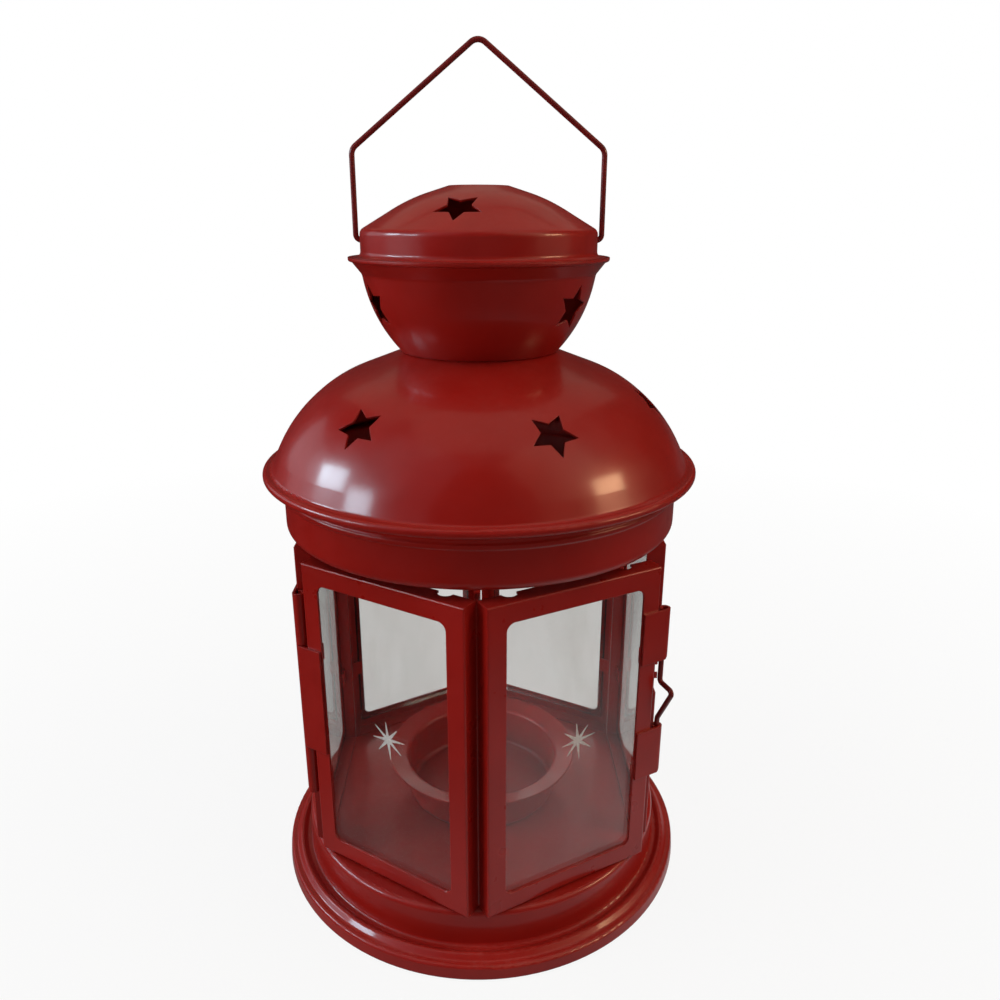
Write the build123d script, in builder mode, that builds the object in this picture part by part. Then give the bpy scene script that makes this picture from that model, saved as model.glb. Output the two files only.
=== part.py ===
from build123d import *
import os
from math import atan2, cos, radians, sin, sqrt, tan

# Punched tin lantern: six glazed tinplate frames stand between a pressed base and a
# domed, star-vented roof. Two of the frames make one door, hinged at the front left corner
# and caught at the front right corner by a bent wire. A wire bail hangs from the chimney lid.
# Millimetres, +Z up, origin at the centre of the foot. The door corner looks along -Y.
# Azimuths are in degrees from -Y, turning towards +X.

# Stock
sheet = 0.6
pane_thickness = 1.8
leaf = 0.7
bail_wire = 1.5
latch_wire_size = 1.5
pin_size = 2.0
running_gap = 0.06
slot_gap = 0.15

# Base pressing
base_radius = 65.5
base_hem = 3.0
base_rounds = (0.8, 1.0, 1.0, 0.9, 0.7, 0.9)
lip_height = 4.6
lip_lean = 0.4
bead_inset = 4.0
bead_width = 1.7
bead_rise = 1.7
drum_inset = 7.5
deck_height = 16.8
deck_round = 1.6

# Candle cup
cup_floor_radius = 23.4
cup_mouth_radius = 24.1
cup_depth = 12.8
cup_round = 1.4
dish_radius = 30.4
dish_rim = 1.6

# Window frames
corner_overhang = 2.0
frame_inset = 3.25
frame_height = 98.7
seam_gap = 0.3
bend_round = 0.5
window_margin = 5.5
window_round = 2.5
pane_lap = 1.6
clip_width = 5.0
clip_spread = 21.0
clip_lap = 0.6
tab_width = 6.0
tab_spread = 15.0
tab_foot = 3.0
notch_round = 2.2
notch_spread = 17.8

# Door
door_lift = 0.6
door_drop = 2.8
door_lip = 4.0
door_ajar = 2.6

# Hinge, heights above the deck and drops below the collar floor
hinge_lift = 20.3
hinge_drop = 12.7
door_leaf_lift = 36.2
door_leaf_drop = 28.5
leaf_gap = 0.2
curl_slit = 0.7
pin_recess = 1.0

# Latch, its middle above the frames' middle
latch_lift = 6.7
lug_gap = 22.1
lug_height = 15.7
lug_chamfer = 1.4
bow_lug_gap = 7.7
bow_drop = 0.6
bow_length = 11.5
bow_reach = 6.0
bow_bend = 1.1
bow_azimuth = 28.0
keeper_gap = 0.3
keeper_depth = 2.5

# Roof
collar_round = 2.5
collar_floor_width = 14.0
collar_height = 17.1
collar_bead_drop = 4.0
collar_bead = 0.5
collar_bead_round = 0.4
brim_overhang = 5.5
brim_roll = 1.2
brim_return = 2.8
brim_round = 1.08
skirt_inset = 2.5
shoulder_inset = 8.7
shoulder_rise = 14.5
shoulder_share = 1.375
crown_inset = 22.1
crown_rise = 25.7
crown_share = 0.79
dome_rise = 33.2

# Chimney
throat_radius = 21.6
throat_skirt = 3.0
throat_drop = 2.4
seat_gap = 0.1
foot_step = 0.9
belly_inset = 2.3
belly_rise = 9.2
belly_share = 1.8
bowl_inset = 3.6
bowl_rise = 21.1
neck_round = 2.0
rim_radius = 36.2
rim_rise = 3.4
rim_ledge = 0.9
rim_lip = 1.1
lid_inset = 3.5
lid_band = 6.9
lid_foot_round = 1.4
lid_shoulder_round = 2.0
lid_waist_inset = 13.7
lid_waist_drop = 3.4
lid_top_radius = 8.2
lid_top_round = 1.0
lid_rise = 18.4

# Bail
bail_pivot_height = 4.8
bail_gap = 1.3
bail_leg = 23.2
bail_peak = 27.2
bail_end = 3.2

# Star punches
star_size = 6.6
star_waist = 0.5
dome_star_place = 0.44
dome_star_start = -38.5
dome_star_spins = (49, 58, 40, 15, 62, 33)
bowl_star_place = 0.32
bowl_star_start = -66.0
bowl_star_spins = (30, 8, 50)
lid_star_place = 0.74
lid_star_start = -13.0
lid_star_spins = (54, 20, 40)

# Worked out from the sizes above
corner = 60.0
round_share = 0.48
bead_radius = base_radius - bead_inset
drum_radius = base_radius - drum_inset
collar_radius = drum_radius
collar_hole_radius = collar_radius - collar_floor_width
brim_radius = collar_radius + brim_overhang
skirt_radius = brim_radius - skirt_inset
shoulder_radius = brim_radius - shoulder_inset
crown_radius = brim_radius - crown_inset
bowl_foot_radius = throat_radius + foot_step
bowl_radius = rim_radius - bowl_inset
belly_radius = bowl_radius - belly_inset
lid_radius = rim_radius - lid_inset
lid_waist_radius = lid_radius - lid_waist_inset
bail_half_width = lid_radius + bail_gap
hexagon_radius = drum_radius + corner_overhang
apothem = hexagon_radius * cos(radians(corner / 2))
frame_width = hexagon_radius - 2 * frame_inset
flange_depth = frame_inset * tan(radians(corner)) - seam_gap
window_width = frame_width - 2 * window_margin
collar_floor = deck_height + frame_height
door_bottom = deck_height + door_lift
door_top = collar_floor - door_drop
window_bottom = door_bottom + window_margin
window_top = door_top - window_margin
window_middle = (window_bottom + window_top) / 2
window_height = window_top - window_bottom
hinge_bore = pin_size / 2 + running_gap
latch_bore = latch_wire_size / 2 + running_gap
brim_height = collar_floor + collar_height
fixed_azimuths = {
    "left_side": -90.0,
    "rear_left": -150.0,
    "rear_right": 150.0,
    "right_side": 90.0,
}
door_azimuths = {"door_left": -30.0, "door_right": 30.0}


def outward(azimuth):
    return Vector(sin(radians(azimuth)), -cos(radians(azimuth)), 0)


def sideways(azimuth):
    return Vector(cos(radians(azimuth)), sin(radians(azimuth)), 0)


def frame_plane(azimuth):
    # The outer face of a frame: x runs along the frame, y is height
    return Plane(origin=outward(azimuth) * apothem, x_dir=sideways(azimuth), z_dir=outward(azimuth))


def corner_reach(bore):
    # Distance from a frame's middle to a pin whose bore is let into the face by its radius
    return (apothem - bore) * tan(radians(corner / 2))


def corner_pin(azimuth, side, bore):
    return outward(azimuth) * (apothem - bore) + sideways(azimuth) * (side * corner_reach(bore))


def tab_places():
    # Where the fixed frames' tabs pass through a floor, seen from above
    places = []
    for azimuth in fixed_azimuths.values():
        for side in (-1, 1):
            centre = outward(azimuth) * (apothem - sheet / 2) + sideways(azimuth) * (side * tab_spread)
            places.append(Location((centre.X, centre.Y, 0), (0, 0, azimuth)))
    return places


def star_points(spin):
    points = []
    for step in range(10):
        reach = star_size if step % 2 == 0 else star_size * star_waist
        turn = radians(spin + 36 * step)
        points.append((reach * cos(turn), reach * sin(turn)))
    return points


def star_places(start, spins, low, high, share):
    # Planes for a ring of stars on a round wall, part of the way up one straight profile run
    radius = low[0] + (high[0] - low[0]) * share
    height = low[1] + (high[1] - low[1]) * share
    tilt = atan2(low[0] - high[0], high[1] - low[1])
    places = []
    for index, spin in enumerate(spins):
        azimuth = start + index * 360 / len(spins)
        normal = outward(azimuth) * cos(tilt) + Vector(0, 0, sin(tilt))
        centre = outward(azimuth) * radius + Vector(0, 0, height)
        places.append((Plane(origin=centre, x_dir=sideways(azimuth), z_dir=normal), spin))
    return places


def star_punches(places):
    with BuildPart() as punches:
        for place, spin in places:
            with BuildSketch(place):
                with BuildLine():
                    Polyline(*star_points(spin), close=True)
                make_face()
            extrude(amount=star_size, both=True)
    return punches.part


def full_round(before, at, after):
    # The largest round that leaves a little of the shorter run straight
    first = Vector(*at) - Vector(*before)
    second = Vector(*after) - Vector(*at)
    turn = radians(first.get_angle(second))
    return round_share * min(first.length, second.length) / tan(turn / 2)


def pressing(points, rounds):
    # A turned sheet whose outer side follows the points, with its thickness on their left
    runs = [(Vector(*second) - Vector(*first)).normalized() for first, second in zip(points, points[1:])]
    lefts = [Vector(-run.Y, run.X) for run in runs]
    inner = [Vector(*points[0]) + lefts[0] * sheet]
    inner_rounds = []
    for index, outer_round in enumerate(rounds):
        before = lefts[index]
        after = lefts[index + 1]
        inner.append(Vector(*points[index + 1]) + (before + after) * (sheet / (1 + before.dot(after))))
        left_turn = runs[index].cross(runs[index + 1]).Z > 0
        inner_rounds.append(max(outer_round - sheet, 0) if left_turn else outer_round + sheet)
    inner.append(Vector(*points[-1]) + lefts[-1] * sheet)
    with BuildPart() as shell:
        with BuildSketch(Plane.XZ):
            with BuildLine():
                FilletPolyline(
                    *points,
                    *reversed(inner),
                    radius=[0, *rounds, 0, 0, *reversed(inner_rounds), 0],
                    close=True,
                )
            make_face()
        revolve(axis=Axis.Z)
    return shell.part


def save(part, label):
    part.label = label
    export_step(part, f"parts/{label}.step")


os.makedirs("parts", exist_ok=True)

# Hinge and latch pin centres with the door shut
hinge_centre = corner_pin(door_azimuths["door_left"], -1, hinge_bore)
latch_centre = corner_pin(door_azimuths["door_right"], 1, latch_bore)
hinge_axis = Axis((hinge_centre.X, hinge_centre.Y, 0), (0, 0, 1))


def hang(part):
    # The door stands a little open: its pieces are turned about the hinge pin
    return part.rotate(hinge_axis, -door_ajar)


# Base pressing, with slots for the fixed frames' tabs
with BuildPart() as base_pan:
    profile = [
        (base_radius - base_hem, 0),
        (base_radius, 0),
        (base_radius - lip_lean, lip_height),
        (bead_radius + bead_width, lip_height),
        (bead_radius, lip_height + bead_rise),
        (bead_radius - bead_width, lip_height + bead_rise / 4),
        (drum_radius, lip_height + bead_rise / 4),
        (drum_radius, deck_height),
        (0, deck_height),
    ]
    add(pressing(profile, (*base_rounds, deck_round)))
    with BuildSketch(Plane.XY):
        with Locations(*tab_places()):
            Rectangle(tab_width + 2 * slot_gap, sheet + 2 * slot_gap)
    extrude(amount=deck_height + sheet, mode=Mode.SUBTRACT)

save(base_pan.part, "base_pan")

# Candle cup: it stands on the deck, and its wide drip rim rises a little outwards
dish_floor = deck_height + sheet
dish_top = dish_floor + cup_depth

with BuildPart() as candle_dish:
    profile = [
        (dish_radius, dish_top + dish_rim),
        (cup_mouth_radius, dish_top),
        (cup_floor_radius, dish_floor),
        (0, dish_floor),
    ]
    add(pressing(profile, (cup_round, cup_round)))

save(candle_dish.part, "candle_dish")


def window_frame(azimuth, bottom, top):
    # A shallow tin pan with a window, and clips bent behind the pane
    face = frame_plane(azimuth)
    middle = (bottom + top) / 2
    with BuildPart() as frame:
        with BuildSketch(face):
            with Locations((0, middle)):
                Rectangle(frame_width, top - bottom)
        extrude(amount=-flange_depth)
        front = frame.faces().sort_by(Axis(face.origin, face.z_dir))[-1]
        fillet(front.edges(), radius=bend_round)
        with BuildSketch(face.offset(-sheet)):
            with Locations((0, middle)):
                Rectangle(frame_width - 2 * sheet, top - bottom - 2 * sheet)
        extrude(amount=-flange_depth, mode=Mode.SUBTRACT)
        with BuildSketch(face):
            with Locations((0, window_middle)):
                RectangleRounded(window_width, window_height, window_round)
        extrude(amount=-2 * sheet, mode=Mode.SUBTRACT)
        # Clips reach from the side flanges over the pane's edges
        clip_reach = window_margin - pane_lap + clip_lap - sheet / 2
        clip_middle = frame_width / 2 - sheet / 2 - clip_reach / 2
        with BuildSketch(face.offset(-sheet - pane_thickness)):
            for side in (-1, 1):
                for rise in (-clip_spread, clip_spread):
                    with Locations((side * clip_middle, window_middle + rise)):
                        Rectangle(clip_reach, clip_width)
        extrude(amount=-sheet)
        # Half-round notches where the top flange was pinched at its ends
        with BuildSketch(Plane.XY.offset(top)):
            for side in (-1, 1):
                notch = outward(azimuth) * (apothem - flange_depth)
                notch += sideways(azimuth) * (side * notch_spread)
                with Locations((notch.X, notch.Y)):
                    Circle(notch_round)
        extrude(amount=-2 * sheet, mode=Mode.SUBTRACT)
    return frame.part


def pane(azimuth):
    with BuildPart() as glass:
        with BuildSketch(frame_plane(azimuth).offset(-sheet)):
            with Locations((0, window_middle)):
                Rectangle(window_width + 2 * pane_lap, window_height + 2 * pane_lap)
        extrude(amount=-pane_thickness)
    return glass.part


def fixed_frame(azimuth):
    # A frame clinched to the deck and to the collar floor by folded tabs
    face = frame_plane(azimuth)
    with BuildPart() as frame:
        add(window_frame(azimuth, deck_height, collar_floor))
        tab_low = deck_height - 2 * sheet
        tab_high = collar_floor + 2 * sheet
        for side in (-1, 1):
            for low, high in ((tab_low, deck_height + sheet), (collar_floor - sheet, tab_high)):
                with BuildSketch(face):
                    with Locations((side * tab_spread, (low + high) / 2)):
                        Rectangle(tab_width, high - low)
                extrude(amount=-sheet)
            for foot in (tab_low + sheet / 2, tab_high - sheet / 2):
                with BuildSketch(face):
                    with Locations((side * tab_spread, foot)):
                        Rectangle(tab_width, sheet)
                extrude(amount=-tab_foot)
    return frame.part


# Where the latch bow crosses the right side frame's corner, measured along that frame
latch_middle = deck_height + frame_height / 2 + latch_lift
upper_lug_bottom = latch_middle + lug_gap / 2
lower_lug_bottom = latch_middle - lug_gap / 2 - lug_height
bow_top = upper_lug_bottom - bow_lug_gap
bow_tip = bow_top - bow_drop
bow_foot = bow_top - bow_length - bow_drop
bow_slope = (bow_tip - bow_foot) / bow_reach
bow_half = latch_wire_size / 2 * sqrt(1 + bow_slope**2)
latch_offset = corner_reach(latch_bore) - frame_width / 2
keeper_near = latch_offset + sheet + keeper_gap / 3
keeper_low = bow_tip - (bow_reach - keeper_near) * bow_slope + bow_half + keeper_gap
keeper_high = bow_tip - latch_wire_size / 2 - keeper_gap
catch_low = bow_tip - (bow_reach - latch_offset) * bow_slope - bow_half - keeper_gap
catch_high = bow_top + latch_wire_size / 2 + keeper_gap
catch_width = bow_reach - latch_offset + keeper_gap

for name, azimuth in fixed_azimuths.items():
    with BuildPart() as frame:
        add(fixed_frame(azimuth))
        if name == "right_side":
            # A cut-out in the front corner takes the bow, and a tongue left in it holds the bow
            edge = -frame_width / 2
            with BuildSketch(frame_plane(azimuth)):
                with Locations((edge + catch_width / 2, (catch_low + catch_high) / 2)):
                    Rectangle(catch_width, catch_high - catch_low)
            extrude(amount=-keeper_depth, mode=Mode.SUBTRACT)
            with BuildSketch(frame_plane(azimuth)):
                with Locations((edge + sheet / 2, (keeper_low + keeper_high) / 2)):
                    Rectangle(sheet, keeper_high - keeper_low)
            extrude(amount=-keeper_depth - sheet)
    save(frame.part, f"{name}_frame")
    save(pane(azimuth), f"{name}_pane")

# The two door frames, joined at the front corner by lips that lie face to face
lip_root = -(hexagon_radius - 2 * frame_inset) - seam_gap

for name, azimuth in door_azimuths.items():
    side = -1 if azimuth < 0 else 1
    with BuildPart() as door:
        add(window_frame(azimuth, door_bottom, door_top))
        with BuildSketch(Plane.XY.offset(door_bottom)):
            with Locations((side * sheet / 2, lip_root + door_lip / 2)):
                Rectangle(sheet, door_lip)
        extrude(amount=door_top - door_bottom)
    save(hang(door.part), f"{name}_frame")
    save(hang(pane(azimuth)), f"{name}_pane")


def curled_leaf(azimuth, side, bore, bottom, top, chamfer):
    # A plate that lies on a frame's stile and curls round a pin at the corner
    centre = corner_pin(azimuth, side, bore)
    section = Plane(origin=(centre.X, centre.Y, bottom), x_dir=sideways(azimuth) * -side, z_dir=(0, 0, 1))
    plate = corner_reach(bore) - frame_width / 2 + window_margin - seam_gap
    with BuildPart() as curl:
        with BuildSketch(section):
            Circle(bore + leaf)
            with Locations((plate / 2, side * (bore + leaf / 2))):
                Rectangle(plate, leaf)
            Circle(bore, mode=Mode.SUBTRACT)
            # The slit between the end of the curl and the plate
            with Locations((bore, side * bore * (1 - curl_slit / 2))):
                Rectangle(2 * bore, bore * curl_slit, mode=Mode.SUBTRACT)
        extrude(amount=top - bottom)
        if chamfer > 0:
            outer = side * (corner_reach(bore) + bore + leaf)
            with BuildSketch(frame_plane(azimuth)):
                with BuildLine():
                    Polyline(
                        (outer, bottom),
                        (outer, bottom + chamfer),
                        (outer - side * chamfer, bottom),
                        close=True,
                    )
                make_face()
            extrude(amount=4 * bore, both=True, mode=Mode.SUBTRACT)
    return curl.part


# Hinge: two leaves on the left side frame, one long leaf on the door, one pin
door_leaf_low = deck_height + door_leaf_lift
door_leaf_high = collar_floor - door_leaf_drop
hinge_low = deck_height + hinge_lift
hinge_high = collar_floor - hinge_drop
left_side = fixed_azimuths["left_side"]
save(curled_leaf(left_side, 1, hinge_bore, door_leaf_high, hinge_high, 0), "side_hinge_leaf_upper")
save(curled_leaf(left_side, 1, hinge_bore, hinge_low, door_leaf_low, 0), "side_hinge_leaf_lower")
door_leaf = curled_leaf(
    door_azimuths["door_left"], -1, hinge_bore, door_leaf_low + leaf_gap, door_leaf_high - leaf_gap, 0
)
save(hang(door_leaf), "door_hinge_leaf")

with BuildPart() as hinge_pin:
    with BuildSketch(Plane(origin=(hinge_centre.X, hinge_centre.Y, hinge_low + pin_recess))):
        Circle(pin_size / 2)
    extrude(amount=hinge_high - hinge_low - 2 * pin_recess)
    chamfer(hinge_pin.edges().filter_by(GeomType.CIRCLE), length=pin_size / 8)

save(hinge_pin.part, "hinge_pin")

# Latch: two lugs on the door's free stile and the bent wire that turns in them
lugs = {"latch_lug_upper": upper_lug_bottom, "latch_lug_lower": lower_lug_bottom}
for name, bottom in lugs.items():
    lug = curled_leaf(door_azimuths["door_right"], 1, latch_bore, bottom, bottom + lug_height, lug_chamfer)
    save(hang(lug), name)

bow_way = outward(bow_azimuth)
bow_plane = Plane(origin=latch_centre, x_dir=bow_way, z_dir=(bow_way.Y, -bow_way.X, 0))

with BuildPart() as latch_wire:
    with BuildLine(bow_plane):
        wire_line = FilletPolyline(
            (0, lugs["latch_lug_upper"] + lug_height - pin_recess),
            (0, bow_top),
            (bow_reach, bow_tip),
            (0, bow_foot),
            (0, lugs["latch_lug_lower"] + pin_recess),
            radius=(bow_bend, bow_bend, 2 * bow_bend),
        )
    with BuildSketch(Plane(origin=wire_line @ 0, z_dir=wire_line % 0)):
        Circle(latch_wire_size / 2)
    sweep()

save(hang(latch_wire.part), "latch_wire")

# Collar: a ring with an inward floor for the frames' tabs and a flange held by the brim
bead_top = brim_height - collar_bead_drop
bead_bottom = bead_top - 4 * collar_bead

with BuildPart() as roof_collar:
    profile = [
        (collar_hole_radius, collar_floor),
        (collar_radius, collar_floor),
        (collar_radius, bead_bottom),
        (collar_radius + collar_bead, bead_bottom + collar_bead),
        (collar_radius + collar_bead, bead_top - collar_bead),
        (collar_radius, bead_top),
        (collar_radius, brim_height - sheet),
        (brim_radius - brim_roll, brim_height - sheet),
    ]
    add(pressing(profile, (collar_round, *[collar_bead_round] * 5)))
    with BuildSketch(Plane.XY.offset(collar_floor - sheet)):
        with Locations(*tab_places()):
            Rectangle(tab_width + 2 * slot_gap, sheet + 2 * slot_gap)
    extrude(amount=3 * sheet, mode=Mode.SUBTRACT)

save(roof_collar.part, "roof_collar")

# Dome: a rounded crown on a skirt that ends in a brim rolled round the collar's flange
throat_hole = throat_radius + seam_gap
skirt = (skirt_radius, brim_height + brim_roll)
shoulder = (shoulder_radius, brim_height + shoulder_rise)
crown = (crown_radius, brim_height + crown_rise)
dome_top = (throat_hole, brim_height + dome_rise)

with BuildPart() as roof_dome:
    profile = [
        (brim_radius - brim_roll - brim_return, brim_height - brim_roll),
        (brim_radius, brim_height - brim_roll),
        (brim_radius, brim_height + brim_roll),
        skirt,
        shoulder,
        crown,
        dome_top,
    ]
    shoulder_round = shoulder_share * full_round(skirt, shoulder, crown)
    crown_round = crown_share * full_round(shoulder, crown, dome_top)
    add(pressing(profile, (brim_round, brim_round, brim_round, shoulder_round, crown_round)))
    stars = star_places(dome_star_start, dome_star_spins, shoulder, crown, dome_star_place)
    add(star_punches(stars), mode=Mode.SUBTRACT)

save(roof_dome.part, "roof_dome")

# Chimney bowl: its throat goes through the dome and its rim is a saucer for the lid
bowl_seat = brim_height + dome_rise + seat_gap
foot = (bowl_foot_radius, bowl_seat)
belly = (belly_radius, bowl_seat + belly_rise)
neck = (bowl_radius, bowl_seat + bowl_rise)
rim_height = bowl_seat + bowl_rise + rim_rise
belly_round = belly_share * full_round(foot, belly, neck)

with BuildPart() as chimney_bowl:
    profile = [
        (throat_radius + throat_skirt, bowl_seat - throat_drop),
        (throat_radius, bowl_seat - throat_drop + sheet),
        (throat_radius, bowl_seat),
        foot,
        belly,
        neck,
        (rim_radius - rim_ledge, rim_height),
        (rim_radius, rim_height),
        (rim_radius, rim_height + rim_lip),
    ]
    add(pressing(profile, (0, 0, 0, belly_round, neck_round, sheet / 2, sheet)))
    stars = star_places(bowl_star_start, bowl_star_spins, belly, neck, bowl_star_place)
    add(star_punches(stars), mode=Mode.SUBTRACT)

save(chimney_bowl.part, "chimney_bowl")

# Chimney lid: a band with a flange that lies in the saucer, under a shallow flat-topped cone
lid_seat = rim_height + sheet
lid_shoulder = (lid_radius, lid_seat + sheet + lid_band)
lid_top = (lid_top_radius, lid_seat + sheet + lid_rise)
lid_waist = (lid_waist_radius, lid_seat + sheet + lid_rise - lid_waist_drop)
bail_pivot = lid_seat + bail_pivot_height

with BuildPart() as chimney_lid:
    profile = [
        (rim_radius - sheet - seam_gap, lid_seat + sheet),
        (lid_radius, lid_seat + sheet),
        lid_shoulder,
        lid_waist,
        lid_top,
        (0, lid_seat + sheet + lid_rise),
    ]
    waist_round = full_round(lid_shoulder, lid_waist, lid_top)
    add(pressing(profile, (lid_foot_round, lid_shoulder_round, waist_round, lid_top_round)))
    stars = star_places(lid_star_start, lid_star_spins, lid_shoulder, lid_waist, lid_star_place)
    add(star_punches(stars), mode=Mode.SUBTRACT)
    # Holes for the bail's ends
    with BuildSketch(Plane.YZ):
        with Locations((0, bail_pivot)):
            Circle(bail_wire / 2 + running_gap)
    extrude(amount=2 * lid_radius, both=True, mode=Mode.SUBTRACT)

save(chimney_lid.part, "chimney_lid")

# Bail: one wire, bent in at both ends through the lid's band
bail_inner = lid_radius - sheet - bail_end
bail_shoulder = bail_pivot + bail_leg

with BuildPart() as bail_handle:
    with BuildLine(Plane.XZ):
        bail_line = FilletPolyline(
            (-bail_inner, bail_pivot),
            (-bail_half_width, bail_pivot),
            (-bail_half_width, bail_shoulder),
            (0, bail_shoulder + bail_peak),
            (bail_half_width, bail_shoulder),
            (bail_half_width, bail_pivot),
            (bail_inner, bail_pivot),
            radius=(bail_wire, 2 * bail_wire, 2 * bail_wire, 2 * bail_wire, bail_wire),
        )
    with BuildSketch(Plane(origin=bail_line @ 0, z_dir=bail_line % 0)):
        Circle(bail_wire / 2)
    sweep()

save(bail_handle.part, "bail_handle")
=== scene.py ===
import math

import bmesh
import bpy
from mathutils import Matrix, Quaternion, Vector


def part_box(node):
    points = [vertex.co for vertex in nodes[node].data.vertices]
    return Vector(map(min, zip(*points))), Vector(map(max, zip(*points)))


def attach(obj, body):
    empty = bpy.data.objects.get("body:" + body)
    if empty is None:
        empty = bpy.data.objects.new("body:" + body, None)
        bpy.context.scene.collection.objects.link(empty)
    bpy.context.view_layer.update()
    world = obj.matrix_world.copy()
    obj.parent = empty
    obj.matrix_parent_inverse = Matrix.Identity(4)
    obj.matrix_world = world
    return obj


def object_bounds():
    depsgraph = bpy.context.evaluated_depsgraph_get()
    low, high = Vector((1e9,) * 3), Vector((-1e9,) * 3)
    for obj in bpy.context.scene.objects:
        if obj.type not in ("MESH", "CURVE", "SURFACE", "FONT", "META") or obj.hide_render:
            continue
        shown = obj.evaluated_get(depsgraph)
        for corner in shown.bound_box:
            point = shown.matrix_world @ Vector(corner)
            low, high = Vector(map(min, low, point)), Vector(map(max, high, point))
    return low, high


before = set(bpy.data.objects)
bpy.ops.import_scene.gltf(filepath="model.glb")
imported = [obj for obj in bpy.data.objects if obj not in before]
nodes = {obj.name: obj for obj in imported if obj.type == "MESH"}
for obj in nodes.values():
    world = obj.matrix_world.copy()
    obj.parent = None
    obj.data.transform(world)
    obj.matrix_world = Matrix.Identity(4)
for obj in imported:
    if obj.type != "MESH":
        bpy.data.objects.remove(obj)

cadLow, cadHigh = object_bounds()
mm = 0.001
cadTall = (cadHigh.z - cadLow.z) / mm
print("frame loaded:", len(nodes), "pieces,", round(cadTall, 1), "mm tall")


# small helpers for node trees
def addNode(tree, kind, x, y, **settings):
    made = tree.nodes.new(kind)
    made.location = (x, y)
    for key, value in settings.items():
        setattr(made, key, value)
    return made


def wire(tree, source, target):
    tree.links.new(source, target)


def feed(tree, value, socket):
    # a plain value is set on the socket, anything else is wired to it
    if isinstance(value, (int, float, tuple)):
        socket.default_value = value
    else:
        wire(tree, value, socket)


def newGroup(name, inputs, outputs):
    group = bpy.data.node_groups.new(name, "ShaderNodeTree")
    for way, sockets in (("INPUT", inputs), ("OUTPUT", outputs)):
        for label, kind in sockets.items():
            group.interface.new_socket(name=label, in_out=way, socket_type="NodeSocket" + kind)
    start = addNode(group, "NodeGroupInput", -1000, 0)
    end = addNode(group, "NodeGroupOutput", 800, 0)
    return group, start, end


def mathNode(tree, operation, x, y, first, second, clamp=False):
    made = addNode(tree, "ShaderNodeMath", x, y, operation=operation, use_clamp=clamp)
    feed(tree, first, made.inputs[0])
    feed(tree, second, made.inputs[1])
    return made.outputs[0]


def mixColours(tree, x, y, factor, first, second):
    made = addNode(tree, "ShaderNodeMix", x, y, data_type="RGBA")
    feed(tree, factor, made.inputs[0])
    feed(tree, first, made.inputs[6])
    feed(tree, second, made.inputs[7])
    return made.outputs[2]


def chooseLevel(tree, x, y, when, plain, other):
    made = addNode(tree, "ShaderNodeMix", x, y, data_type="FLOAT")
    feed(tree, when, made.inputs[0])
    feed(tree, plain, made.inputs[2])
    feed(tree, other, made.inputs[3])
    return made.outputs[0]


def spread(tree, x, y, source, low, high, toLow=0.0, toHigh=1.0):
    made = addNode(tree, "ShaderNodeMapRange", x, y)
    wire(tree, source, made.inputs[0])
    for socket, value in zip(made.inputs[1:5], (low, high, toLow, toHigh)):
        socket.default_value = value
    return made.outputs[0]


def noise(tree, x, y, where, scale, detail=3.0):
    made = addNode(tree, "ShaderNodeTexNoise", x, y)
    wire(tree, where, made.inputs["Vector"])
    made.inputs["Detail"].default_value = detail
    feed(tree, scale, made.inputs["Scale"])
    return made.outputs["Fac"]


# sprayed enamel: slow drifts of tone, fine orange peel, a gloss that isn't quite even
enamelGrain = {
    "driftBand": (0.35, 0.7),
    "fineScale": 420.0,
    "fineDetail": 2.0,
    "fineBand": (0.4, 0.75),
    "fineShare": (0.0, 0.18),
    "cloudScale": 140.0,
    "cloudBand": (0.3, 0.7),
    "peelDetail": 1.5,
}


def makeEnamelGroup(grain):
    group, start, end = newGroup(
        "enamelSkin",
        {
            "Red": "Color",
            "Thin Red": "Color",
            "Drift Scale": "Float",
            "Gloss": "Float",
            "Gloss Drift": "Float",
            "Peel Scale": "Float",
        },
        {"Color": "Color", "Roughness": "Float", "Height": "Float"},
    )
    where = addNode(group, "ShaderNodeTexCoord", -1000, -300).outputs["Object"]
    drift = noise(group, -700, 200, where, start.outputs["Drift Scale"])
    driftShare = spread(group, -450, 200, drift, *grain["driftBand"])
    fine = noise(group, -700, -50, where, grain["fineScale"], grain["fineDetail"])
    fineShare = spread(group, -450, -50, fine, *grain["fineBand"], *grain["fineShare"])
    share = mathNode(group, "ADD", -200, 100, driftShare, fineShare, clamp=True)
    colour = mixColours(group, 50, 150, share, start.outputs["Red"], start.outputs["Thin Red"])
    cloudy = noise(group, -700, -300, where, grain["cloudScale"])
    loose = spread(group, -450, -300, cloudy, *grain["cloudBand"], -1.0, 1.0)
    change = mathNode(group, "MULTIPLY", -200, -250, loose, start.outputs["Gloss Drift"])
    rough = mathNode(group, "ADD", 50, -200, start.outputs["Gloss"], change, clamp=True)
    peel = noise(group, -700, -550, where, start.outputs["Peel Scale"], grain["peelDetail"])
    wire(group, colour, end.inputs["Color"])
    wire(group, rough, end.inputs["Roughness"])
    wire(group, peel, end.inputs["Height"])
    return group


# edges: where the paint pulled thin over a fold or a punched cut; the lighter red there is partly
# that wear and partly a painted highlight along each fold and cut
edgeWearAndHighlight = {
    "bevelSamples": 4,
    "foldBand": (0.985, 0.8),
    "patchBand": (0.35, 0.62),
}


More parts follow.
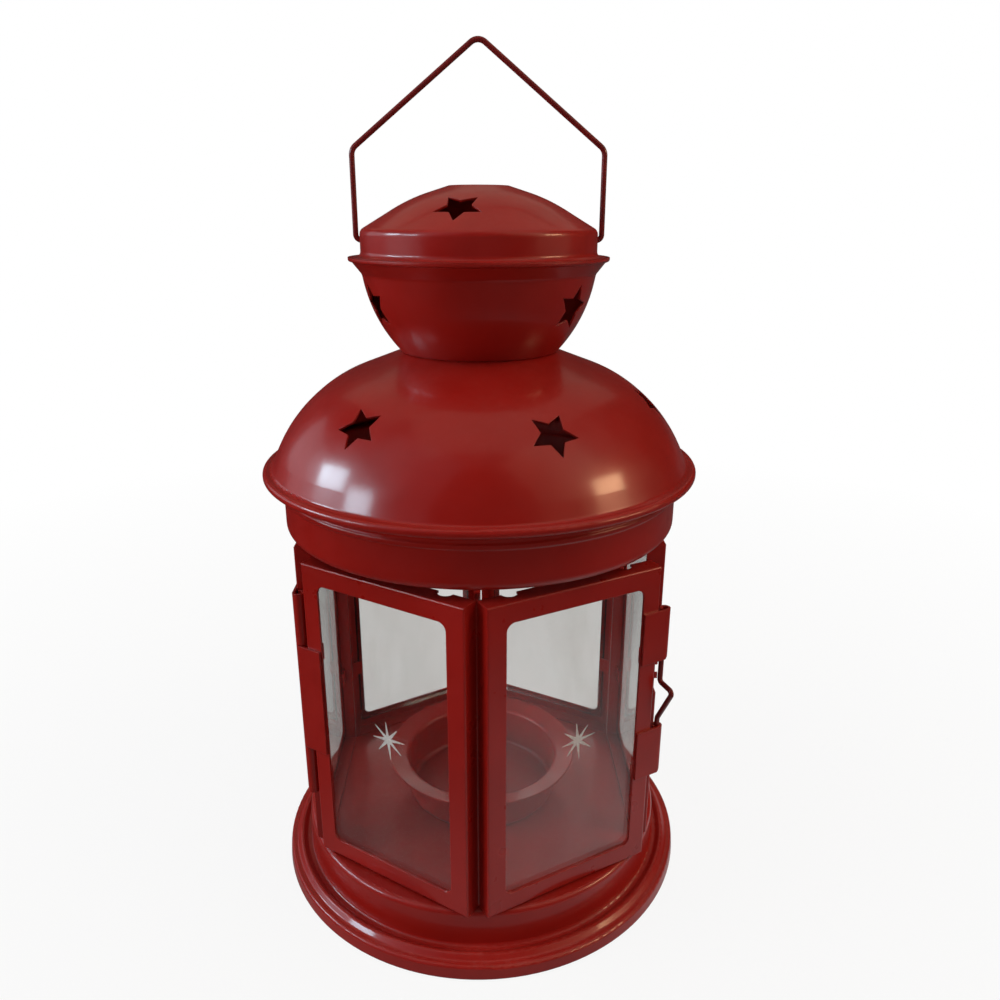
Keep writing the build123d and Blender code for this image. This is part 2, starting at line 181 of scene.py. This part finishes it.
def makeEdgeGroup(wearAndHighlight):
    group, start, end = newGroup(
        "foldedEdge",
        {"Reach": "Float", "Break Up": "Float"},
        {"Edge": "Float", "Soft Normal": "Vector"},
    )
    where = addNode(group, "ShaderNodeTexCoord", -1000, -300).outputs["Object"]
    bevel = addNode(group, "ShaderNodeBevel", -700, 150, samples=wearAndHighlight["bevelSamples"])
    wire(group, start.outputs["Reach"], bevel.inputs["Radius"])
    plain = addNode(group, "ShaderNodeNewGeometry", -700, -50)
    dot = addNode(group, "ShaderNodeVectorMath", -450, 50, operation="DOT_PRODUCT")
    wire(group, bevel.outputs["Normal"], dot.inputs[0])
    wire(group, plain.outputs["Normal"], dot.inputs[1])
    # fold mask: where the lighter red goes, as worn paint and as a painted highlight
    fold = spread(group, -200, 50, dot.outputs["Value"], *wearAndHighlight["foldBand"])
    patchy = noise(group, -700, -350, where, start.outputs["Break Up"])
    gaps = spread(group, -450, -350, patchy, *wearAndHighlight["patchBand"])
    edge = mathNode(group, "MULTIPLY", 50, 0, fold, gaps, clamp=True)
    wire(group, edge, end.inputs["Edge"])
    wire(group, bevel.outputs["Normal"], end.inputs["Soft Normal"])
    return group


# dust that settles on what faces up, and a painted sheen: up-facing faces are made paler and
# greyer as if lit from above
dustAndSheenLie = {
    "flatBand": (0.55, 1.0),
    "slowScale": 55.0,
    "slowBand": (0.3, 0.7),
    "grainDetail": 4.0,
    "speckleBand": (0.42, 0.72),
    "leastSpeckle": 0.35,
}


def makeDustAndSheenGroup(lie):
    group, start, end = newGroup(
        "settledDustAndSheen",
        {"Amount": "Float", "Grain": "Float"},
        {"DustAndSheen": "Float"},
    )
    coordinates = addNode(group, "ShaderNodeTexCoord", -1000, -300)
    where = coordinates.outputs["Object"]
    split = addNode(group, "ShaderNodeSeparateXYZ", -700, 100)
    wire(group, coordinates.outputs["Normal"], split.inputs[0])
    # up-facing faces: settled dust and a painted sheen from above
    flat = spread(group, -450, 100, split.outputs[2], *lie["flatBand"])
    slowNoise = noise(group, -700, -150, where, lie["slowScale"])
    slow = spread(group, -450, -150, slowNoise, *lie["slowBand"])
    grains = noise(group, -700, -400, where, start.outputs["Grain"], lie["grainDetail"])
    speckle = spread(group, -450, -400, grains, *lie["speckleBand"])
    specks = mathNode(group, "ADD", -300, -350, speckle, lie["leastSpeckle"])
    both = mathNode(group, "MULTIPLY", -200, -200, slow, specks)
    lying = mathNode(group, "MULTIPLY", 50, 0, flat, both)
    dustAndSheen = mathNode(group, "MULTIPLY", 300, 0, lying, start.outputs["Amount"], clamp=True)
    wire(group, dustAndSheen, end.inputs["DustAndSheen"])
    return group


# glass: wiped smears and faint waviness from drawing the sheet
glassSmear = {
    "stretch": (1.0, 1.0, 0.35),
    "streakScale": 95.0,
    "streakDetail": 4.0,
    "streakBand": (0.48, 0.78),
    "waveDetail": 1.0,
}


def makeSmearGroup(smear):
    group, start, end = newGroup(
        "wipedGlass",
        {
            "Clear": "Color",
            "Smeared": "Color",
            "Polish": "Float",
            "Smear": "Float",
            "Wave Scale": "Float",
        },
        {"Color": "Color", "Roughness": "Float", "Height": "Float"},
    )
    where = addNode(group, "ShaderNodeTexCoord", -1000, -300).outputs["Object"]
    stretch = addNode(group, "ShaderNodeMapping", -850, -100)
    stretch.inputs["Scale"].default_value = smear["stretch"]
    wire(group, where, stretch.inputs["Vector"])
    wiped = stretch.outputs[0]
    streaks = noise(group, -600, 100, wiped, smear["streakScale"], smear["streakDetail"])
    share = spread(group, -350, 100, streaks, *smear["streakBand"])
    colour = mixColours(group, 50, 200, share, start.outputs["Clear"], start.outputs["Smeared"])
    loose = mathNode(group, "MULTIPLY", -100, -50, share, start.outputs["Smear"])
    rough = mathNode(group, "ADD", 100, -50, loose, start.outputs["Polish"], clamp=True)
    waves = noise(group, -600, -350, where, start.outputs["Wave Scale"], smear["waveDetail"])
    wire(group, colour, end.inputs["Color"])
    wire(group, rough, end.inputs["Roughness"])
    wire(group, waves, end.inputs["Height"])
    return group


enamelSkin = makeEnamelGroup(enamelGrain)
foldedEdge = makeEdgeGroup(edgeWearAndHighlight)
settledDustAndSheen = makeDustAndSheenGroup(dustAndSheenLie)
wipedGlass = makeSmearGroup(glassSmear)
print("finish groups made")


def placeGroup(tree, group, x, y, values):
    made = addNode(tree, "ShaderNodeGroup", x, y, node_tree=group)
    for label, value in values.items():
        made.inputs[label].default_value = value
    return made


def emptyMaterial(name):
    made = bpy.data.materials.new(name)
    made.use_nodes = True
    made.node_tree.nodes.clear()
    return made, made.node_tree, addNode(made.node_tree, "ShaderNodeOutputMaterial", 900, 0)


def addBump(tree, x, y, height, strength, depth):
    bump = addNode(tree, "ShaderNodeBump", x, y)
    bump.inputs["Strength"].default_value = strength
    bump.inputs["Distance"].default_value = depth
    wire(tree, height, bump.inputs["Height"])
    return bump


def enamel(name, look):
    made, tree, out = emptyMaterial(name)
    skin = placeGroup(tree, enamelSkin, -700, 200, {
        "Red": look["red"],
        "Thin Red": look["thinRed"],
        "Drift Scale": look["driftScale"],
        "Gloss": look["gloss"],
        "Gloss Drift": look["glossDrift"],
        "Peel Scale": look["peelScale"],
    })
    edge = placeGroup(tree, foldedEdge, -700, -200, {
        "Reach": look["edgeReach"],
        "Break Up": look["edgeBreakUp"],
    })
    dustAndSheen = placeGroup(tree, settledDustAndSheen, -700, -450, {
        "Amount": look["dustAndSheen"],
        "Grain": look["dustGrain"],
    })
    # lighter pink red on the folds and cuts: worn paint and a painted highlight
    rubbedAndHighlit = mathNode(tree, "MULTIPLY", -420, -150, edge.outputs["Edge"], look["edgeRubAndHighlight"])
    wornAndHighlit = mixColours(tree, -200, 200, rubbedAndHighlit, skin.outputs["Color"], look["edgeWearHighlightRed"])
    # pale grey on up-facing faces: settled dust and a painted sheen
    dustyAndSheened = mixColours(tree, 0, 200, dustAndSheen.outputs["DustAndSheen"], wornAndHighlit, look["dustAndSheenTone"])
    rougher = mathNode(tree, "MULTIPLY", -200, -50, dustAndSheen.outputs["DustAndSheen"], look["dustRough"])
    rough = mathNode(tree, "ADD", 0, -50, skin.outputs["Roughness"], rougher, clamp=True)
    bump = addBump(tree, 100, -300, skin.outputs["Height"], look["peel"], look["peelDepth"])
    wire(tree, edge.outputs["Soft Normal"], bump.inputs["Normal"])
    paint = addNode(tree, "ShaderNodeBsdfPrincipled", 500, 0)
    paint.inputs["Specular IOR Level"].default_value = look["shine"]
    paint.inputs["Coat Weight"].default_value = look["coat"]
    paint.inputs["Coat Roughness"].default_value = look["coatRough"]
    wire(tree, dustyAndSheened, paint.inputs["Base Color"])
    wire(tree, rough, paint.inputs["Roughness"])
    wire(tree, bump.outputs["Normal"], paint.inputs["Normal"])
    wire(tree, paint.outputs[0], out.inputs["Surface"])
    return made


def dress(names, material):
    for name in names:
        mesh = nodes[name].data
        mesh.materials.clear()
        mesh.materials.append(material)


# the deep red enamel that everything but the glass is sprayed with
redEnamel = {
    "red": (0.245, 0.0058, 0.0032, 1),
    "thinRed": (0.29, 0.008, 0.005, 1),
    "driftScale": 28.0,
    "gloss": 0.34,
    "glossDrift": 0.06,
    "peelScale": 1100.0,
    "peel": 0.18,
    "peelDepth": 0.00002,
    "edgeReach": 0.0004,
    "edgeBreakUp": 260.0,
    # edge share and edge red: worn paint and a painted highlight along folds and cuts
    "edgeRubAndHighlight": 0.3,
    "edgeWearHighlightRed": (0.4, 0.04, 0.03, 1),
    # up-facing pale tone: dust and a painted sheen
    "dustAndSheen": 0.04,
    "dustGrain": 700.0,
    "dustRough": 0.6,
    "dustAndSheenTone": (0.42, 0.3, 0.26, 1),
    "shine": 0.2,
    "coat": 0.35,
    "coatRough": 0.12,
}

baseRing = {**redEnamel, "gloss": 0.36, "dustAndSheen": 0.05, "coat": 0.4, "coatRough": 0.1}
dress(["base_pan"], enamel("baseEnamel", baseRing))

candleDish = {
    **redEnamel,
    "gloss": 0.42,
    "dustAndSheen": 0.03,
    "driftScale": 60.0,
    "coat": 0.2,
    "coatRough": 0.08,
}
dress(["candle_dish"], enamel("dishEnamel", candleDish))

sideFrames = {**redEnamel, "driftScale": 40.0, "edgeRubAndHighlight": 0.4}
dress(
    ["left_side_frame", "rear_left_frame", "rear_right_frame", "right_side_frame"],
    enamel("sideFrameEnamel", sideFrames),
)

doorFrames = {
    **redEnamel,
    "driftScale": 40.0,
    "edgeRubAndHighlight": 0.5,
    "gloss": 0.32,
    "coat": 0.45,
    "coatRough": 0.08,
}
dress(["door_left_frame", "door_right_frame"], enamel("doorEnamel", doorFrames))

fittings = {**redEnamel, "driftScale": 90.0, "edgeRubAndHighlight": 0.55, "edgeReach": 0.0003, "gloss": 0.38}
dress(
    [
        "side_hinge_leaf_upper",
        "side_hinge_leaf_lower",
        "door_hinge_leaf",
        "hinge_pin",
        "latch_lug_upper",
        "latch_lug_lower",
    ],
    enamel("fittingEnamel", fittings),
)

wires = {
    **redEnamel,
    "red": (0.12, 0.006, 0.006, 1),
    "thinRed": (0.17, 0.009, 0.008, 1),
    "driftScale": 120.0,
    "edgeReach": 0.0001,
    "edgeRubAndHighlight": 0.0,
    "dustAndSheen": 0.02,
    "coat": 0.3,
}
dress(["bail_handle", "latch_wire"], enamel("wireEnamel", wires))

roofShell = {**redEnamel, "dustAndSheen": 0.03, "coat": 0.4, "coatRough": 0.15}
dress(["roof_dome", "roof_collar"], enamel("roofEnamel", roofShell))

chimney = {**redEnamel, "dustAndSheen": 0.05, "driftScale": 45.0}
dress(["chimney_bowl", "chimney_lid"], enamel("chimneyEnamel", chimney))
print("enamel on the tin pieces")

# window glass, which lets lamplight through so that the chamber is lit
windowGlass = {
    "clear": (0.93, 0.93, 0.92, 1),
    "smeared": (0.85, 0.84, 0.82, 1),
    "polish": 0.01,
    "smear": 0.05,
    "waveScale": 24.0,
    "wave": 0.05,
    "waveDepth": 0.0001,
    "bend": 1.5,
    "lampTint": (0.58, 0.58, 0.57, 1),
}


def glassMaterial(name, look):
    made, tree, out = emptyMaterial(name)
    skin = placeGroup(tree, wipedGlass, -500, 100, {
        "Clear": look["clear"],
        "Smeared": look["smeared"],
        "Polish": look["polish"],
        "Smear": look["smear"],
        "Wave Scale": look["waveScale"],
    })
    bump = addBump(tree, -150, -250, skin.outputs["Height"], look["wave"], look["waveDepth"])
    glass = addNode(tree, "ShaderNodeBsdfPrincipled", 150, 100)
    glass.inputs["Transmission Weight"].default_value = 1.0
    glass.inputs["IOR"].default_value = look["bend"]
    wire(tree, skin.outputs["Color"], glass.inputs["Base Color"])
    wire(tree, skin.outputs["Roughness"], glass.inputs["Roughness"])
    wire(tree, bump.outputs["Normal"], glass.inputs["Normal"])
    through = addNode(tree, "ShaderNodeBsdfTransparent", 150, -350)
    through.inputs["Color"].default_value = look["lampTint"]
    path = addNode(tree, "ShaderNodeLightPath", 150, 500)
    choose = addNode(tree, "ShaderNodeMixShader", 600, 50)
    wire(tree, path.outputs["Is Shadow Ray"], choose.inputs[0])
    wire(tree, glass.outputs[0], choose.inputs[1])
    wire(tree, through.outputs[0], choose.inputs[2])
    wire(tree, choose.outputs[0], out.inputs["Surface"])
    return made


paneNames = [name for name in nodes if name.endswith("_pane")]
dress(paneNames, glassMaterial("windowGlass", windowGlass))
print("glass in", len(paneNames), "panes")

# frosted eight-ray stars etched on the two door panes, sizes in mm
etchedStar = {
    "rays": 8,
    "turn": 6.0,
    "reach": (5.7, 5.1, 5.5, 5.6, 5.2, 5.4, 6.2, 5.6),
    "rootHalf": 0.52,
    "tipHalf": 0.09,
    "hub": 1.1,
    "spineAt": 0.55,
    "proud": 0.012,
    "hubProud": 0.024,
    "spineProud": 0.0192,
    "height": 65.8,
    "across": {"door_left_pane": 0.7, "door_right_pane": 1.6},
    "frost": (0.78, 0.8, 0.78, 1),
    "clear": (0.62, 0.62, 0.6, 1),
    "rough": 0.55,
    "grainScale": 2600.0,
    "grainDetail": 2.0,
    "grainBand": (0.35, 0.7),
    "coverBand": (0.25, 0.7),
    "cover": (0.47, 0.72),
}


def frostMaterial(look):
    made, tree, out = emptyMaterial("etchedFrost")
    where = addNode(tree, "ShaderNodeTexCoord", -900, 0).outputs["Object"]
    grain = noise(tree, -650, 100, where, look["grainScale"], look["grainDetail"])
    frostShare = spread(tree, -420, 100, grain, *look["grainBand"])
    colour = mixColours(tree, -200, 150, frostShare, look["clear"], look["frost"])
    cover = spread(tree, -420, -150, grain, *look["coverBand"], *look["cover"])
    frost = addNode(tree, "ShaderNodeBsdfPrincipled", 300, 0)
    frost.inputs["Roughness"].default_value = look["rough"]
    wire(tree, colour, frost.inputs["Base Color"])
    wire(tree, cover, frost.inputs["Alpha"])
    wire(tree, frost.outputs[0], out.inputs["Surface"])
    return made


def outerFace(paneName):
    # the pane's outer face: its middle, the way along it and the way out of it
    low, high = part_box(paneName)
    mesh = nodes[paneName].data
    best = max(mesh.polygons, key=lambda face: face.area * (-face.normal.y))
    outward = best.normal.normalized()
    along = outward.cross(Vector((0, 0, 1)))
    along = -along if along.x < 0 else along
    corner = mesh.vertices[best.vertices[0]].co
    middle = (low + high) / 2
    return middle + outward * (corner - middle).dot(outward), along, outward


def etchStar(paneName, look, material):
    middle, along, outward = outerFace(paneName)
    centre = middle + along * (look["across"][paneName] * mm)
    centre.z = look["height"] * mm
    shape = bmesh.new()

    def place(spot, out):
        lifted = centre + Vector((0, 0, spot.y * mm)) + outward * (out * mm)
        return shape.verts.new(lifted + along * (spot.x * mm))

    hubTop = place(Vector((0, 0)), look["hubProud"])
    for ray in range(look["rays"]):
        angle = math.radians(look["turn"] + 360 / look["rays"] * ray)
        tip = look["reach"][ray]
        way = Vector((math.cos(angle), math.sin(angle)))
        side = Vector((-way.y, way.x))
        rootLeft = place(way * look["hub"] + side * look["rootHalf"], look["proud"])
        rootRight = place(way * look["hub"] - side * look["rootHalf"], look["proud"])
        tipRight = place(way * tip - side * look["tipHalf"], look["proud"])
        tipLeft = place(way * tip + side * look["tipHalf"], look["proud"])
        spine = place(way * tip * look["spineAt"], look["spineProud"])
        rim = (hubTop, rootRight, tipRight, tipLeft, rootLeft, hubTop)
        for first, second in zip(rim, rim[1:]):
            shape.faces.new((first, second, spine))
    bmesh.ops.recalc_face_normals(shape, faces=shape.faces)
    mesh = bpy.data.meshes.new("etchedStar")
    shape.to_mesh(mesh)
    shape.free()
    mesh.materials.append(material)
    star = bpy.data.objects.new("etchedStar_" + paneName.replace("_pane", ""), mesh)
    bpy.context.scene.collection.objects.link(star)
    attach(star, "door")


frosted = frostMaterial(etchedStar)
for paneName in etchedStar["across"]:
    etchStar(paneName, etchedStar, frosted)
print("stars etched on the door panes")

# white sweep and room: what the camera, the glass and the gloss see of them
studio = {
    "floorSize": 8.0,
    "floorDrop": 0.0001,
    "floorTone": (0.5, 0.49, 0.48, 1),
    "floorBounce": (0.3, 0.294, 0.288, 1),
    "whiteNear": 0.9,
    "whiteFrom": 0.08,
    "whiteBy": 0.5,
    "floorInGloss": (0.08, 0.62),
    "glossSides": (-0.1, 0.1),
    "glossFade": (0.1, 0.24, 1.0, 0.12),
    "floorThroughGlass": 0.58,
    "roomThroughGlass": 0.5,
    "roomInDeck": 0.24,
    "roomInGloss": 0.03,
    "roomLevel": 0.05,
    "roomSides": (-0.8, 0.8),
    "coolSide": (0.8, 0.92, 1.0, 1),
    "warmSide": (1.0, 0.86, 0.7, 1),
}


def makeFloor(look):
    half = look["floorSize"] / 2
    corners = [(-half, -half), (half, -half), (half, half), (-half, half)]
    mesh = bpy.data.meshes.new("floor")
    mesh.from_pydata([(x, y, -look["floorDrop"]) for x, y in corners], [], [(0, 1, 2, 3)])
    made, tree, out = emptyMaterial("paleFloor")
    matt = addNode(tree, "ShaderNodeBsdfDiffuse", 0, -150)
    white = addNode(tree, "ShaderNodeEmission", 0, 50)
    where = addNode(tree, "ShaderNodeTexCoord", -1200, 200)
    length = addNode(tree, "ShaderNodeVectorMath", -1000, 200, operation="LENGTH")
    wire(tree, where.outputs["Object"], length.inputs[0])
    away = length.outputs["Value"]
    path = addNode(tree, "ShaderNodeLightPath", -800, 500)
    isSeen = path.outputs["Is Camera Ray"]
    isThrough = path.outputs["Is Transmission Ray"]
    bounced = mathNode(tree, "MINIMUM", -600, 500, path.outputs["Glossy Depth"], 1.0)
    colour = mixColours(tree, -200, -200, isSeen, look["floorBounce"], look["floorTone"])
    wire(tree, colour, matt.inputs["Color"])
    # clean white further out, a little of the shadow kept close in
    whiteShare = (look["whiteFrom"], look["whiteBy"], look["whiteNear"], 1.0)
    clean = spread(tree, -800, 200, away, *whiteShare)
    share = chooseLevel(tree, -600, 300, isThrough, 0.0, look["floorThroughGlass"])
    share = chooseLevel(tree, -400, 300, bounced, share, 1.0)
    share = chooseLevel(tree, -200, 300, isSeen, share, clean)
    # the gloss mirrors it brighter at the warm side, and only close in
    split = addNode(tree, "ShaderNodeSeparateXYZ", -1000, 0)
    wire(tree, where.outputs["Object"], split.inputs[0])
    sideLevel = spread(tree, -800, 0, split.outputs[0], *look["glossSides"], *look["floorInGloss"])
    nearby = spread(tree, -800, -250, away, *look["glossFade"])
    mirrored = mathNode(tree, "MULTIPLY", -600, 0, sideLevel, nearby)
    glow = chooseLevel(tree, -400, 50, bounced, 1.0, mirrored)
    wire(tree, glow, white.inputs["Strength"])
    choose = addNode(tree, "ShaderNodeMixShader", 400, 0)
    wire(tree, share, choose.inputs[0])
    wire(tree, matt.outputs[0], choose.inputs[1])
    wire(tree, white.outputs[0], choose.inputs[2])
    wire(tree, choose.outputs[0], out.inputs["Surface"])
    mesh.materials.append(made)
    floor = bpy.data.objects.new("floor", mesh)
    bpy.context.scene.collection.objects.link(floor)


def makeRoom(look):
    world = bpy.data.worlds.new("room")
    world.use_nodes = True
    tree = world.node_tree
    tree.nodes.clear()
    out = addNode(tree, "ShaderNodeOutputWorld", 700, 0)
    path = addNode(tree, "ShaderNodeLightPath", -900, 300)
    isGloss = path.outputs["Is Glossy Ray"]
    isThrough = path.outputs["Is Transmission Ray"]
    bounced = mathNode(tree, "MINIMUM", -700, 500, path.outputs["Glossy Depth"], 1.0)
    level = chooseLevel(tree, -600, 300, isGloss, look["roomLevel"], look["roomInGloss"])
    through = chooseLevel(tree, -500, 500, bounced, look["roomThroughGlass"], look["roomInDeck"])
    level = chooseLevel(tree, -400, 300, isThrough, level, through)
    where = addNode(tree, "ShaderNodeTexCoord", -900, -200)
    split = addNode(tree, "ShaderNodeSeparateXYZ", -700, -200)
    wire(tree, where.outputs["Generated"], split.inputs[0])
    side = spread(tree, -500, -200, split.outputs[0], *look["roomSides"])
    tone = mixColours(tree, -300, -200, side, look["coolSide"], look["warmSide"])
    room = addNode(tree, "ShaderNodeBackground", 0, -150)
    wire(tree, tone, room.inputs["Color"])
    wire(tree, level, room.inputs["Strength"])
    white = addNode(tree, "ShaderNodeBackground", 0, 50)
    white.inputs["Color"].default_value = (1, 1, 1, 1)
    choose = addNode(tree, "ShaderNodeMixShader", 400, 0)
    wire(tree, path.outputs["Is Camera Ray"], choose.inputs[0])
    wire(tree, room.outputs[0], choose.inputs[1])
    wire(tree, white.outputs[0], choose.inputs[2])
    wire(tree, choose.outputs[0], out.inputs["Surface"])
    bpy.context.scene.world = world


makeFloor(studio)
makeRoom(studio)
print("floor and room ready")

# lamps that light the paint softly, and cards that only show up as reflections in it:
# two cool window panes at the left, a warm lamp at the right, dim ceiling and walls
plainWhite = (1.0, 0.97, 0.94)
daylight = (0.93, 0.97, 1.0)
lamplight = (1.0, 0.88, 0.74)
lamps = {
    "topLamp": {
        "turn": 0.0, "rise": 88.0, "far": 1.3, "wide": 1.2, "tall": 1.0,
        "watts": 3.1, "tone": plainWhite,
    },
    "frontFill": {
        "turn": 0.0, "rise": 12.0, "far": 1.4, "wide": 1.4, "tall": 0.5,
        "watts": 2.5, "tone": plainWhite,
    },
    "leftFill": {
        "turn": -80.0, "rise": 45.0, "far": 1.0, "wide": 0.6, "tall": 0.6,
        "watts": 3.7, "tone": daylight,
    },
    "leftFillLow": {
        "turn": -80.0, "rise": 4.0, "far": 1.0, "wide": 0.6, "tall": 0.3,
        "watts": 6.0, "tone": daylight,
    },
    "rightFill": {
        "turn": 75.0, "rise": 45.0, "far": 1.0, "wide": 0.6, "tall": 0.6,
        "watts": 4.8, "tone": lamplight,
    },
    "backFill": {
        "turn": 180.0, "rise": 18.0, "far": 1.2, "wide": 0.9, "tall": 0.5,
        "watts": 3.0, "tone": (1.0, 0.96, 0.92),
    },
    "rightFillLow": {
        "turn": 80.0, "rise": 8.0, "far": 1.0, "wide": 0.6, "tall": 0.4,
        "watts": 1.9, "tone": lamplight,
    },
}
windowBlue = (0.6, 0.86, 1.0)
wallBlue = (0.8, 0.9, 1.0)
wallAmber = (1.0, 0.75, 0.5)
ceilingCream = (1.0, 0.9, 0.72)
cards = {
    "windowNear": {
        "turn": -69.0, "rise": 21.5, "lean": 17.0, "far": 0.9, "wide": 0.22, "tall": 0.1,
        "watts": 2.2, "tone": windowBlue,
    },
    "windowFar": {
        "turn": -91.0, "rise": 21.0, "lean": 25.0, "far": 0.9, "wide": 0.27, "tall": 0.16,
        "watts": 4.3, "tone": windowBlue,
    },
    "warmLamp": {
        "turn": 76.6, "rise": 23.6, "lean": -16.0, "far": 0.9, "wide": 0.28, "tall": 0.14,
        "watts": 2.8, "tone": (1.0, 0.66, 0.36),
    },
    "ceilingBack": {
        "turn": 180.0, "rise": 55.0, "far": 1.3, "wide": 1.8, "tall": 1.2,
        "watts": 2.2, "tone": ceilingCream,
    },
    "ceilingTop": {
        "turn": 0.0, "rise": 85.0, "far": 1.3, "wide": 1.2, "tall": 0.8,
        "watts": 1.4, "tone": ceilingCream,
    },
    "leftGlow": {
        "turn": -118.0, "rise": 14.0, "far": 1.0, "wide": 0.5, "tall": 0.4,
        "watts": 0.6, "tone": wallBlue,
    },
    "leftWall": {
        "turn": -50.0, "rise": 45.0, "far": 1.4, "wide": 1.0, "tall": 1.0,
        "watts": 1.0, "tone": wallBlue,
    },
    "rightWall": {
        "turn": 55.0, "rise": 45.0, "far": 1.4, "wide": 1.0, "tall": 1.0,
        "watts": 1.8, "tone": wallAmber,
    },
    "leftLow": {
        "turn": -75.0, "rise": 2.0, "far": 1.2, "wide": 0.9, "tall": 0.4,
        "watts": 0.45, "tone": wallBlue,
    },
    "rightLow": {
        "turn": 75.0, "rise": 4.0, "far": 1.2, "wide": 0.9, "tall": 0.5,
        "watts": 0.4, "tone": wallAmber,
    },
}
lampTarget = Vector((0, -0.03, 0.14))


def hangLamp(name, look, onlyMirrored):
    turn, rise = math.radians(look["turn"]), math.radians(look["rise"])
    level = math.cos(rise)
    way = Vector((math.sin(turn) * level, -math.cos(turn) * level, math.sin(rise)))
    data = bpy.data.lights.new(name, "AREA")
    data.shape = "RECTANGLE"
    data.size = look["wide"]
    data.size_y = look["tall"]
    data.energy = look["watts"]
    data.color = look["tone"]
    lamp = bpy.data.objects.new(name, data)
    lamp.location = lampTarget + way * look["far"]
    lamp.visible_glossy = onlyMirrored
    lamp.visible_diffuse = not onlyMirrored
    lamp.visible_transmission = not onlyMirrored
    lamp.rotation_mode = "QUATERNION"
    lean = Quaternion((0, 0, 1), math.radians(look.get("lean", 0.0)))
    lamp.rotation_quaternion = (-way).to_track_quat("-Z", "Y") @ lean
    bpy.context.scene.collection.objects.link(lamp)


for lampName, lampLook in lamps.items():
    hangLamp(lampName, lampLook, False)
for cardName, cardLook in cards.items():
    hangLamp(cardName, cardLook, True)
print("lamps hung:", len(lamps), "and cards:", len(cards))

# camera where the photographer stood, angles in degrees
photoCamera = {
    "place": (0.0, -0.241888, 0.202544),
    "down": 18.9215,
    "right": 1.41371,
    "roll": 0.138867,
    "lens": 29.978,
    "sensor": 36.0,
    "nearest": 0.01,
    "farthest": 50.0,
}


def setCamera(look):
    down, right, roll = (math.radians(look[key]) for key in ("down", "right", "roll"))
    ahead = Vector((
        math.sin(right) * math.cos(down),
        math.cos(right) * math.cos(down),
        -math.sin(down),
    ))
    level = Vector((math.cos(right), -math.sin(right), 0))
    upward = level.cross(ahead)
    sideways = level * math.cos(roll) + upward * math.sin(roll)
    overhead = upward * math.cos(roll) - level * math.sin(roll)
    data = bpy.data.cameras.new("photoCamera")
    data.lens = look["lens"]
    data.sensor_fit = "HORIZONTAL"
    data.sensor_width = look["sensor"]
    data.clip_start = look["nearest"]
    data.clip_end = look["farthest"]
    camera = bpy.data.objects.new("photoCamera", data)
    turned = Matrix((sideways, overhead, -ahead)).transposed().to_4x4()
    turned.translation = Vector(look["place"])
    camera.matrix_world = turned
    bpy.context.scene.collection.objects.link(camera)
    bpy.context.scene.camera = camera


setCamera(photoCamera)
bpy.context.scene.view_settings.view_transform = "Standard"
print("camera set")
